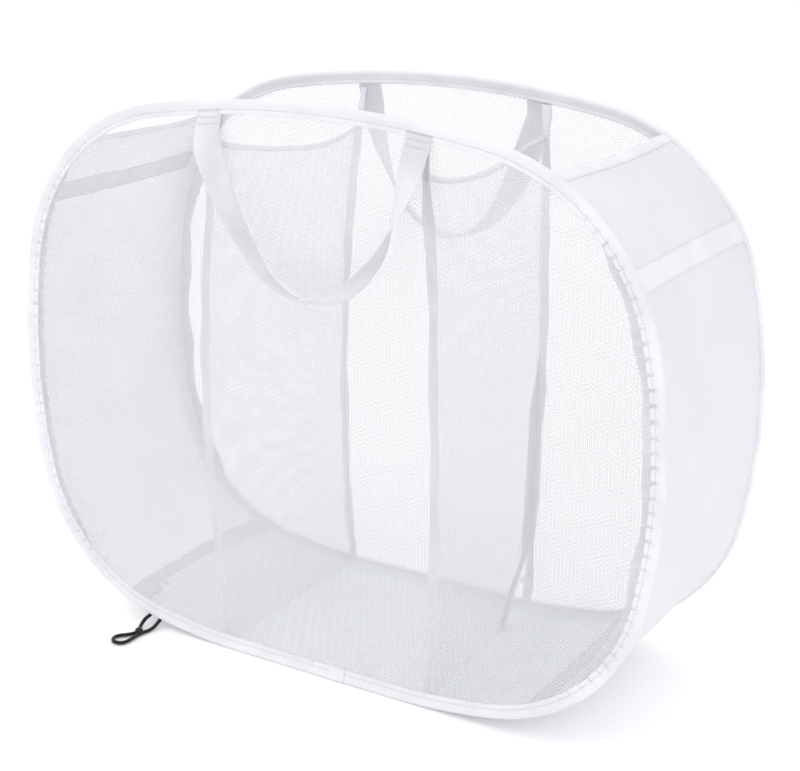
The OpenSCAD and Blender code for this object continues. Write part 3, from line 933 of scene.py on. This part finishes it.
class HAMPER_OT_studio(Operator):
    """Camera, lamps and ground for looking at the hamper"""

    bl_idname = "hamper.studio"
    bl_label = "Studio"

    def execute(self, context):
        scene = context.scene
        settings = scene.hamper_stage
        a, e, r = settings.azimuth, settings.elevation, settings.roll
        back = Vector((math.sin(a) * math.cos(e), -math.cos(a) * math.cos(e), math.sin(e)))
        right = Vector((math.cos(a), math.sin(a), 0))
        up = back.cross(right)
        right, up = (right * math.cos(r) + up * math.sin(r), up * math.cos(r) - right * math.sin(r))
        camera = bpy.data.objects.new("camera", bpy.data.cameras.new("camera"))
        camera.data.lens = settings.lens
        camera.data.sensor_fit = "HORIZONTAL"
        camera.data.sensor_width = 36
        place = Matrix((right, up, back)).transposed().to_4x4()
        place.translation = Vector(settings.target) + back * settings.distance
        camera.matrix_world = place
        scene.collection.objects.link(camera)
        scene.camera = camera

        for name, spot, size, power, tone in (
            ("key_lamp", (-1.3, -1.5, 2.4), 1.6, settings.key, (1.0, 0.99, 0.98)),
            ("fill_lamp", (1.9, -1.0, 2.5), 1.6, settings.fill, (0.97, 0.98, 1.0)),
        ):
            lamp = bpy.data.lights.new(name, "AREA")
            lamp.shape = "DISK"
            lamp.size, lamp.energy, lamp.color = size, power, tone
            stand = bpy.data.objects.new(name, lamp)
            aim = LAMP_AIM - Vector(spot)
            stand.matrix_world = (
                Matrix.Translation(spot) @ aim.to_track_quat("-Z", "Y").to_matrix().to_4x4()
            )
            scene.collection.objects.link(stand)

        world = bpy.data.worlds.new("even_light")
        world.use_nodes = True
        wires = Wiring(world.node_tree)
        sky = world.node_tree.nodes["Background"]
        sky.inputs["Color"].default_value = (0.985, 0.99, 1.0, 1)
        parts = wires.node("ShaderNodeSeparateXYZ")
        wires.feed(parts.inputs[0], wires.node("ShaderNodeTexCoord").outputs["Generated"])
        wires.feed(sky.inputs["Strength"],
                   wires.remap(parts.outputs["Z"], 0.0, 1.0, settings.horizon, settings.sky, False))
        scene.world = world
        scene.view_settings.view_transform = "Standard"
        scene.cycles.transparent_max_bounces = 24

        material, wires, principled = finish_material("Ground")
        grain = wires.node("ShaderNodeTexNoise")
        wires.feed(grain.inputs["Vector"], wires.node("ShaderNodeTexCoord").outputs["Object"])
        grain.inputs["Scale"].default_value = 3
        wires.feed(principled.inputs["Base Color"],
                   wires.shade(grain.outputs["Fac"], tint(settings.ground, 0.99), settings.ground))
        principled.inputs["Emission Color"].default_value = (*settings.ground, 1)
        principled.inputs["Emission Strength"].default_value = 0.12
        principled.inputs["Roughness"].default_value = 0.9
        data = bpy.data.meshes.new("ground")
        corners = [(x * GROUND_REACH, y * GROUND_REACH, GROUND_LEVEL)
                   for x, y in ((-1, -1), (1, -1), (1, 1), (-1, 1))]
        data.from_pydata(corners, [], [(0, 1, 2, 3)])
        data.materials.append(material)
        ground = bpy.data.objects.new("ground", data)
        scene.collection.objects.link(ground)
        return {"FINISHED"}


class HAMPER_OT_fold_cord(Operator):
    """Elastic cord loop that holds the folded hamper, and its knot"""

    bl_idname = "hamper.fold_cord"
    bl_label = "Fold Cord"

    def execute(self, context):
        h = hamper()
        front = -h.hoop.plane
        knots = [Vector((x * MM, front + y * MM, z * MM)) for x, y, z in CORD_ROUTE]
        path, length = curve_through(knots, 120)
        material = h.finish("elastic")
        cord = tube("fold_cord_elastic", path, h.cloth.cord / 2, material)
        carry(cord, "front_frame", "black_elastic", "fold_cord")

        middle = Vector((-204 * MM, front - 28 * MM, 5 * MM))
        turns = []
        for i in range(73):
            t = 2 * math.pi * i / 72
            turns.append(middle + 0.92 * MM * Vector((
                math.cos(t) - 2 * math.cos(2 * t),
                math.sin(t) + 2 * math.sin(2 * t),
                -1.15 * math.sin(3 * t),
            )))
        knot = tube("fold_cord_overhand_knot", turns, 1.75 * MM, material)
        carry(knot, "front_frame", "black_elastic", "fold_cord_knot")
        return {"FINISHED"}


class HAMPER_OT_spring_hoops(Operator):
    """Finish of the spring wire and the ferrules inside the bindings"""

    bl_idname = "hamper.spring_hoops"
    bl_label = "Spring Hoops"

    def execute(self, context):
        colours = context.scene.hamper_colours
        wire = brushed_steel("Spring Steel", colours.steel)
        for face in FACES:
            give_finish(face + "_hoop", wire)
            give_finish(face + "_hoop_ferrule", wire)
        return {"FINISHED"}


class HAMPER_OT_bindings(Operator):
    """Gathered tape sewn round each hoop, with the lap at its joint"""

    bl_idname = "hamper.bindings"
    bl_label = "Bindings"

    def section(self, h, along, face, swell=0.0):
        s = FACES[face]
        share, pucker, wander = h.binding_gather(along, s)
        size = h.cloth.binding_width / (14 * MM)
        ring = []
        for sign, section in ((1, BINDING_SECTION), (-1, BINDING_SECTION[::-1])):
            for depth, half in section:
                deep = depth * MM * size
                fold = share * pucker * smooth_step(2.5, 9.0, depth)
                thick = half * MM * (1 + GATHER_RELIEF * fold) + swell
                inner, outer = smooth_step(6, 14, depth), 1 - smooth_step(0, 6, depth)
                deep += 0.0008 * share * ripple(along * 55, s * 8.1) * inner
                deep += 0.0006 * share * ripple(along * 38, s * 3.7) * outer
                deep += swell * smooth_step(10, 14, depth)
                if sign * s > 0:
                    thick += FACE_RELIEF * fold
                ring.append(h.outline.inside(along, deep, s * h.hoop.plane + sign * thick + wander))
        return ring

    def execute(self, context):
        h = hamper()
        tape = h.finish("binding")
        steps = 1440
        around = [0.0]
        full = [*BINDING_SECTION, *((depth, -half) for depth, half in BINDING_SECTION[::-1])]
        for a, b in zip(full, full[1:] + full[:1]):
            around.append(around[-1] + math.dist(a, b) * MM)
        for face in FACES:
            rings = [self.section(h, h.outline.total * i / steps, face) for i in range(steps)]
            sleeve = skin(
                face + "_binding_tape", rings,
                lambda i, j: (h.outline.total * i / steps, around[j]), tape,
                around=True, along=True,
            )
            carry(sleeve, face + "_frame", "binding_tape", face + "_binding")

            start, lap = 0.016, 0.020
            rings = [self.section(h, start, face, 0.00005)]
            rings += [
                self.section(h, start + lap * i / 16, face, 0.0007 + 0.0001 * math.sin(i * 1.1))
                for i in range(17)
            ]
            rings.append(self.section(h, start + lap, face, 0.00005))
            joint = skin(
                face + "_binding_lap", rings, lambda i, j: (start + lap * i / 18, around[j]), tape,
                around=True,
            )
            carry(joint, face + "_frame", "binding_tape", face + "_binding_joint")
        return {"FINISHED"}


class HAMPER_OT_binding_stitches(Operator):
    """Row of stitches on both faces of each binding"""

    bl_idname = "hamper.binding_stitches"
    bl_label = "Binding Stitches"

    def execute(self, context):
        h = hamper()
        thread = h.finish("thread")
        count = round(h.outline.total / h.cloth.stitch_pitch)
        for face, s in FACES.items():
            spots = []
            for i in range(count):
                along = h.outline.total * i / count
                share, pucker, wander = h.binding_gather(along, s)
                a = h.outline.inside(along - 0.001, STITCH_DEPTH * MM, 0)
                b = h.outline.inside(along + 0.001, STITCH_DEPTH * MM, 0)
                run = (b - a).normalized()
                for sign in (-1, 1):
                    thick = STITCH_FACE * MM * (1 + GATHER_RELIEF * share * pucker)
                    if sign * s > 0:
                        thick += FACE_RELIEF * share * pucker
                    p = h.outline.inside(
                        along, STITCH_DEPTH * MM, s * h.hoop.plane + sign * thick + wander
                    )
                    spots.append((p, run, Vector((0, sign, 0))))
            row = sewn_stitches(face + "_binding_stitches", spots, h.cloth.stitch_pitch * 0.82,
                                h.cloth.thread, thread)
            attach(row, face + "_frame")
        return {"FINISHED"}


class HAMPER_OT_net_faces(Operator):
    """Net stretched over the front and the back hoop"""

    bl_idname = "hamper.net_faces"
    bl_label = "Net Faces"

    def execute(self, context):
        h = hamper()
        net = h.finish("net")
        spokes, rounds = 720, 30
        for face, s in FACES.items():
            middle = Vector((0, 0, h.hoop.height / 2))

            def place(k, i):
                t = 1 - (1 - k / rounds) ** 1.7
                along = h.outline.total * i / spokes
                edge = h.outline.inside(along, NET_HELD, 0)
                p = middle.lerp(edge, t)
                away = (1 - t) * (edge - middle).length
                share, pucker = h.gather(along, s * 2.0)
                y = h.net_offset(p.x, p.z, face) * (1 - t**8)
                y += h.net_pucker(share, pucker, max(0.0, away - 0.006))
                y += 0.0007 * ripple(along * 16, s * 4.0) * math.exp(-away / 0.07)
                return Vector((p.x, s * h.hoop.plane + y * min(1.0, away / 0.006), p.z))

            rings = grid(rounds + 1, spokes, place)
            piece = skin(
                face + "_net", rings,
                lambda i, j: (rings[i][j % spokes].xz if s < 0 else rings[i][j % spokes].zx), net,
                around=True,
            )
            carry(piece, face + "_frame", "mesh_net", face + "_mesh")
            round(h.outline.area(NET_HELD), 4)
        return {"FINISHED"}


class HAMPER_OT_seam_edges(Operator):
    """Turned-in edges of the nets, inside the hoops' sides"""

    bl_idname = "hamper.seam_edges"
    bl_label = "Seam Edges"

    def execute(self, context):
        h = hamper()
        cloth = h.finish("turned")
        low = h.outline.along_where(lambda p: p.y >= SEAM_LOW and p.x > 0.2)
        high = h.outline.along_where(lambda p: p.y >= SEAM_HIGH)
        steps, columns = 220, 6
        for face, s in FACES.items():
            for side in SIDES:
                rings = []
                for i in range(steps + 1):
                    along = h.side_along(side, low + (high - low) * i / steps)
                    share, pucker = h.gather(along, s * 2.0)
                    width = h.cloth.seam_edge * SEAM_EDGES[face, side] * (
                        1 + 0.13 * math.sin(along * 60 + s + 2.4 * ripple(along * 9, s * 5.0))
                        + 0.20 * ripple(along * 38, s * 9.4) + 0.06 * pucker
                    ) * (0.15 + 0.85 * smooth_step(0, 14, min(i, steps - i)))
                    ring = []
                    for j in range(columns + 1):
                        t = j / columns
                        depth = 0.0132 + t * width
                        p = h.outline.inside(along, depth, 0)
                        lift = 0.0007 + 0.0007 * math.sin(math.pi * t)
                        lift += 0.0005 * t * pucker * share
                        y = s * h.hoop.plane + h.net_offset(p.x, p.z, face)
                        y += h.net_pucker(share, pucker, depth - 0.014)
                        ring.append(Vector((p.x, y - s * lift, p.z)))
                    rings.append(ring)
                piece = skin(
                    f"{face}_{side}_seam_allowance", rings,
                    lambda i, j: (i * (high - low) / steps, j * h.cloth.seam_edge / columns), cloth,
                )
                carry(piece, face + "_frame", "seam_tape", f"{face}_{side}_seam_edge")
        return {"FINISHED"}


class HAMPER_OT_end_panels(Operator):
    """Cloth ends of the hamper, from the floor to the open top"""

    bl_idname = "hamper.end_panels"
    bl_label = "End Panels"

    def execute(self, context):
        h = hamper()
        rows, columns = 260, 44
        reach = h.cloth.panel_reach
        ys = h.across(reach, columns)
        for side, sx in SIDES.items():

            def place(i, j):
                top = h.panel_end[side] - top_droop(ys[j] / reach, sx)
                along = h.panel_start + (top - h.panel_start) * i / rows
                return h.panel_place(h.side_along(side, along), ys[j], sx * 3.0)

            length = h.panel_end[side] - h.panel_start
            # The left panel takes its own lighter colour, painted light for light through the cloth
            piece = skin(side + "_end_cloth", grid(rows + 1, columns + 1, place),
                         lambda i, j: (length * i / rows, ys[j]), h.finish(side + "_panel"))
            hang_between_hoops(piece, reach, "panel_cloth", length, side + "_end_panel")
        return {"FINISHED"}


class HAMPER_OT_floor_panel(Operator):
    """Cloth floor between the hoops"""

    bl_idname = "hamper.floor_panel"
    bl_label = "Floor Panel"

    def execute(self, context):
        h = hamper()
        rows, columns = 200, 40
        reach = h.cloth.panel_reach
        ys = h.across(reach, columns)
        half = h.panel_start
        rings = grid(rows + 1, columns + 1,
                     lambda i, j: h.panel_place(half * (2 * i / rows - 1), ys[j], 5.5))
        piece = skin("floor_cloth", rings, lambda i, j: (2 * half * i / rows, ys[j]),
                     h.finish("floor"))
        hang_between_hoops(piece, reach, "panel_cloth", 2 * half, "floor_panel")
        return {"FINISHED"}


class HAMPER_OT_bands(Operator):
    """Doubled bands across the outside of the end panels"""

    bl_idname = "hamper.bands"
    bl_label = "Bands"

    def execute(self, context):
        h = hamper()
        reach = h.cloth.panel_reach - HEM_GAP
        ys = h.across(reach, 60)
        upper = h.outline.along_where(lambda p: p.y >= h.cloth.upper_band_height)
        for level, middle, width, swell in (
            ("upper", upper, h.cloth.upper_band_width, 0),
            ("lower", h.panel_start, h.cloth.lower_band_width, 0.004),
        ):
            for side, sx in SIDES.items():
                seed = sx * 3.0

                def place(i, j):
                    share, lift = BAND_FOLD[i]
                    y = ys[j]
                    curl = 0.0016 * ripple(y * 38, seed + share * 5) * abs(share) * 2
                    bow = swell * (1 - (y / reach) ** 2)
                    along = h.side_along(side, middle + share * width + curl + bow)
                    pleat = 0.0004 * math.sin(y / 0.0021 + 2 * ripple(y * 40, seed))
                    pleat *= abs(share) * 2 if lift else 0
                    return h.panel_place(along, y, seed, lift * MM + pleat)

                piece = skin(f"{side}_{level}_band_strip", grid(len(BAND_FOLD), len(ys), place),
                             lambda i, j: (width * i / 6, ys[j]), h.finish("hem"))
                # Faces of the band's inner side get the darker colour, painted shade for the
                # doubled cloth
                shade_inside_faces(piece, h.finish("lining"), 6 * (len(ys) - 1))
                hang_between_hoops(piece, h.cloth.panel_reach, "hem_cloth", 2 * reach,
                                   f"{side}_{level}_band")
        return {"FINISHED"}


class HAMPER_OT_top_hems(Operator):
    """Folded hems along the open edges of the end panels"""

    bl_idname = "hamper.top_hems"
    bl_label = "Top Hems"

    def execute(self, context):
        h = hamper()
        reach = h.cloth.panel_reach - HEM_GAP
        ys = h.across(reach, 60)
        width = h.cloth.top_hem
        flat = TOP_HEM_TAKES * width
        for side, sx in SIDES.items():

            def place(i, j):
                share, lift = TOP_HEM_FOLD[i]
                y = ys[j]
                top = h.panel_end[side] - top_droop(y / h.cloth.panel_reach, sx)
                curl = 0.0010 * ripple(y * 30, sx * 8.0 + share)
                along = h.side_along(side, top + share * width + curl)
                return h.panel_place(along, y, sx * 3.0, lift * MM)

            piece = skin(side + "_top_hem_fold", grid(len(TOP_HEM_FOLD), len(ys), place),
                         lambda i, j: (i * flat / 9, ys[j]), h.finish("hem"))
            hang_between_hoops(piece, h.cloth.panel_reach, "hem_cloth", 2 * reach,
                               side + "_top_hem")
        return {"FINISHED"}


class HAMPER_OT_dividers(Operator):
    """Net dividers between the compartments"""

    bl_idname = "hamper.dividers"
    bl_label = "Dividers"

    def execute(self, context):
        h = hamper()
        rows, columns = 120, 60
        reach = h.cloth.divider_reach
        ys = [reach * (2 * j / columns - 1) for j in range(columns + 1)]
        for side in SIDES:
            edges = [(h.divider_foot(side, y), h.divider_top(side, y)) for y in ys]

            def place(i, j):
                low, high = edges[j]
                z = low + (high - low) * i / rows
                return Vector((h.divider_x(side, ys[j], z), ys[j], z))

            rings = grid(rows + 1, columns + 1, place)
            # The divider net takes a darker copy of the net's colour, painted shade for the light
            # lost inside the hamper
            piece = skin(side + "_divider_net", rings,
                         lambda i, j: (rings[i][j].y, rings[i][j].z), h.finish("divider"))
            hang_between_hoops(piece, reach, "mesh_net", h.cloth.divider_top,
                               side + "_divider")

        sewn, turned = h.cloth.corner_run, 0.020
        path = [(reach, 0.30 - 0.22 * k / 40) for k in range(30)]
        path += [(reach - sewn * k / 40, 0.0) for k in range(1, 41)]
        rings = []
        for k, (y, z) in enumerate(path):
            z = max(z, h.divider_foot("right", y))
            width = turned * smooth_step(0, 12, k)
            ring = []
            for j in range(5):
                lift = 0.0027 + 0.0005 * math.sin(math.pi * j / 4)
                place_y = y - width * (j / 4) * (1 + 0.18 * ripple(k * 0.17, 3.0))
                ring.append(Vector((h.divider_x("right", place_y, z) - lift, place_y, z)))
            rings.append(ring)
        fold = skin("right_divider_corner_fold", rings, lambda i, j: (i * 0.0028, j * turned / 4),
                    h.finish("tape"))
        squash_between_hoops(fold, reach)
        return {"FINISHED"}


class HAMPER_OT_divider_hems(Operator):
    """Binding folded over the dividers' top edges"""

    bl_idname = "hamper.divider_hems"
    bl_label = "Divider Hems"

    def execute(self, context):
        h = hamper()
        reach = h.cloth.divider_reach
        width = h.cloth.divider_hem
        flat = DIVIDER_HEM_TAKES * width
        ys = [reach * (2 * j / 110 - 1) for j in range(111)]
        for side, sx in SIDES.items():

            def place(i, j):
                share, lift = DIVIDER_HEM_FOLD[i]
                y = ys[j]
                z = h.divider_top(side, y) + share * width
                z += 0.0009 * ripple(y * 55, sx * 3.3 + share) * abs(share)
                x = h.divider_x(side, y, z)
                x += 0.0005 * ripple(y * 70, sx * 5.2) * abs(share)
                return Vector((x + lift * MM, y, z))

            piece = skin(side + "_divider_hem_fold", grid(len(DIVIDER_HEM_FOLD), len(ys), place),
                         lambda i, j: (i * flat / 8, ys[j]), h.finish("tape"))
            hang_between_hoops(piece, reach, "hem_cloth", 2 * reach, side + "_divider_hem")
        return {"FINISHED"}


class HAMPER_OT_seam_tapes(Operator):
    """Tapes where the dividers are sewn to the nets, and the stay across the open corner"""

    bl_idname = "hamper.seam_tapes"
    bl_label = "Seam Tapes"

    def execute(self, context):
        h = hamper()
        cloth = h.finish("tape")
        width = h.cloth.seam_tape
        low, high = TAPE_LOW, h.hoop.height - TAPE_SHORT
        rows = 230
        for face, s in FACES.items():
            for side, sx in SIDES.items():
                seed = s * 2.0 + sx

                def place(i, j):
                    share, lift = TAPE_PROFILE[j]
                    z = low + (high - low) * i / rows
                    x = h.divider_line(side, face, z) + share * width
                    x += 0.0030 * ripple(z * 21, seed + share * 1.5) * abs(share) * 2
                    x += 0.0008 * ripple(z * 14, seed)
                    y = s * h.hoop.plane + h.net_offset(x, z, face)
                    y -= s * (lift * MM + 0.0004 * ripple(z * 40, seed + 4))
                    return Vector((x, y, z))

                piece = skin(
                    f"{side}_divider_{face}_tape_strip", grid(rows + 1, len(TAPE_PROFILE), place),
                    lambda i, j: (i * (high - low) / rows, TAPE_PROFILE[j][0] * width), cloth,
                )
                carry(piece, face + "_frame", "seam_tape", f"{side}_divider_{face}_tape")

        first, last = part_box("right_divider_corner_stay")
        steps, stay_width = 18, last.z - first.z

        def stay_place(i, j):
            share, lift = STAY_PROFILE[j]
            y = first.y + (last.y - first.y) * i / steps
            z = (first.z + last.z) / 2 + share * stay_width
            z += 0.0008 * ripple(y * 60, 5.0 + share)
            x = h.divider_x("right", y, z) + lift * MM + 0.0006 * math.sin(math.pi * i / steps)
            return Vector((x, y, z))

        stay = skin("corner_stay_strip", grid(steps + 1, len(STAY_PROFILE), stay_place),
                    lambda i, j: (i * 0.002, j * 0.002), cloth)
        carry(stay, "back_frame", "seam_tape", "right_divider_corner_stay")
        return {"FINISHED"}


class HAMPER_OT_handles(Operator):
    """Webbing carry handles, sewn under the bindings"""

    bl_idname = "hamper.handles"
    bl_label = "Handles"

    def execute(self, context):
        h = hamper()
        webbing, thread = h.finish("webbing"), h.finish("thread")
        wide, thick = h.cloth.webbing_width / 2, h.cloth.webbing_thickness / 2
        section = [*WEBBING_EDGE, *((a, -b) for a, b in WEBBING_EDGE[::-1])]
        for face, s in FACES.items():
            shape, length = h.handle_shape(face, *HANDLE_SHAPES[face])
            rings = []
            for i, (middle, across, out) in enumerate(shape):
                wave = 0.0004 * ripple(i * 0.11, s * 4.0)
                rings.append([
                    middle + across * a * wide + out * (b * thick + wave * a) for a, b in section
                ])
            last = len(shape) - 1
            girth = [0.0]
            for a, b in zip(section, section[1:] + section[:1]):
                girth.append(girth[-1] + math.hypot((a[0] - b[0]) * wide, (a[1] - b[1]) * thick))
            strap = skin(
                face + "_handle_webbing", rings,
                lambda i, j: (length * i / last, girth[j]), webbing, around=True, caps=True,
            )
            carry(strap, face + "_handle_loop", "webbing", face + "_handle")

            spots = []
            axis = HANDLE_AXES[face + "_handle_loop"]
            for end in (0, 1):
                for drop in (0.003, 0.0065):
                    span = shape[: last // 4] if end == 0 else shape[-last // 4 :]
                    middle, across, out = min(span, key=lambda p: abs(p[0].z - axis.z + drop))
                    if out.y * s < 0:
                        out = -out
                    for k in range(8):
                        t = (k + 0.5) / 8 * 2 - 1
                        spots.append((middle + across * t * wide * 0.86 + out * thick, across, out))
            rows = sewn_stitches(face + "_handle_stitches", spots, 0.0026, h.cloth.thread * 1.2,
                                 thread)
            carry(rows, face + "_handle_loop", "thread", face + "_handle_stitching")
        return {"FINISHED"}


class HAMPER_PT_pieces(Panel):
    """Lists the hamper's pieces"""

    bl_label = "Laundry Hamper"
    bl_idname = "HAMPER_PT_pieces"
    bl_space_type = "VIEW_3D"
    bl_region_type = "UI"
    bl_category = "Hamper"

    def draw(self, context):
        for operator in OPERATORS:
            self.layout.operator(operator.bl_idname)


SETTINGS = {
    "hamper_hoops": HamperHoopSizes,
    "hamper_cloth": HamperClothSizes,
    "hamper_colours": HamperColours,
    "hamper_stage": HamperStageSettings,
}
OPERATORS = (
    HAMPER_OT_studio,
    HAMPER_OT_fold_cord,
    HAMPER_OT_spring_hoops,
    HAMPER_OT_bindings,
    HAMPER_OT_binding_stitches,
    HAMPER_OT_net_faces,
    HAMPER_OT_seam_edges,
    HAMPER_OT_end_panels,
    HAMPER_OT_floor_panel,
    HAMPER_OT_bands,
    HAMPER_OT_top_hems,
    HAMPER_OT_dividers,
    HAMPER_OT_divider_hems,
    HAMPER_OT_seam_tapes,
    HAMPER_OT_handles,
)


def register():
    for kind in (*SETTINGS.values(), *OPERATORS, HAMPER_PT_pieces):
        bpy.utils.register_class(kind)
    for label, kind in SETTINGS.items():
        setattr(bpy.types.Scene, label, PointerProperty(type=kind))


def unregister():
    for label in SETTINGS:
        delattr(bpy.types.Scene, label)
    for kind in (HAMPER_PT_pieces, *OPERATORS[::-1], *SETTINGS.values()):
        bpy.utils.unregister_class(kind)


def main():
    register()
    for operator in OPERATORS:
        group, name = operator.bl_idname.split(".")
        getattr(getattr(bpy.ops, group), name)()


if __name__ == "__main__":
    main()
